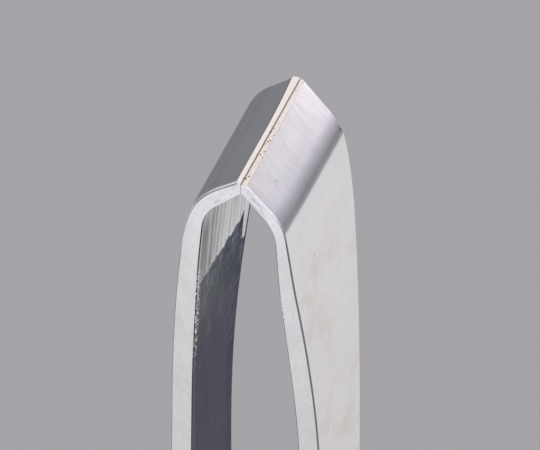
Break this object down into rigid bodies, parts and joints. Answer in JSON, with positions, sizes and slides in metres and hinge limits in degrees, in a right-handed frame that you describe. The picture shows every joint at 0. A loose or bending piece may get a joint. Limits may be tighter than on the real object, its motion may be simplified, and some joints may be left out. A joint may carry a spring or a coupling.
{
  "type": "slant tweezers",
  "caption": "Slant-tip cosmetic tweezers: two sprung stainless blades bent in at the jaws, ground to a slanted gripping edge and welded together at the heel.",
  "frame": {"origin": "middle of the heel end, on the plane where the two blades meet", "axes": "+Z from the heel to the tips, X is the squeeze direction with the right blade on +X, Y is the width of the blades with the longer side of the slant on +Y"},
  "size_m": [0.0092, 0.0078, 0.095],
  "materials": {
    "left_blade_steel": "satin stainless steel, ground inside and on the tip",
    "right_blade_steel": "satin stainless steel, ground inside and on the tip",
    "weld_steel": "weld seam ground flush"
  },
  "bodies": {
    "heel": {"heel_weld": "weld_steel"},
    "left_blade": {"left_arm": "left_blade_steel"},
    "right_blade": {"right_arm": "right_blade_steel"}
  },
  "joints": [
    {"name": "left_flex", "type": "hinge", "parent": "heel", "child": "left_blade", "pos_m": [-0.00128, 0, 0.001], "axis": [0, -1, 0], "range_deg": [0, 2.7], "stiffness_Nm_per_rad": 4.25, "springref_deg": 2.7},
    {"name": "right_flex", "type": "hinge", "parent": "heel", "child": "right_blade", "pos_m": [0.00128, 0, 0.001], "axis": [0, 1, 0], "range_deg": [0, 2.7], "stiffness_Nm_per_rad": 4.25, "springref_deg": 2.7}
  ],
  "couplings": [
    {"joint": "right_flex", "follows": "left_flex", "ratio": 1}
  ]
}
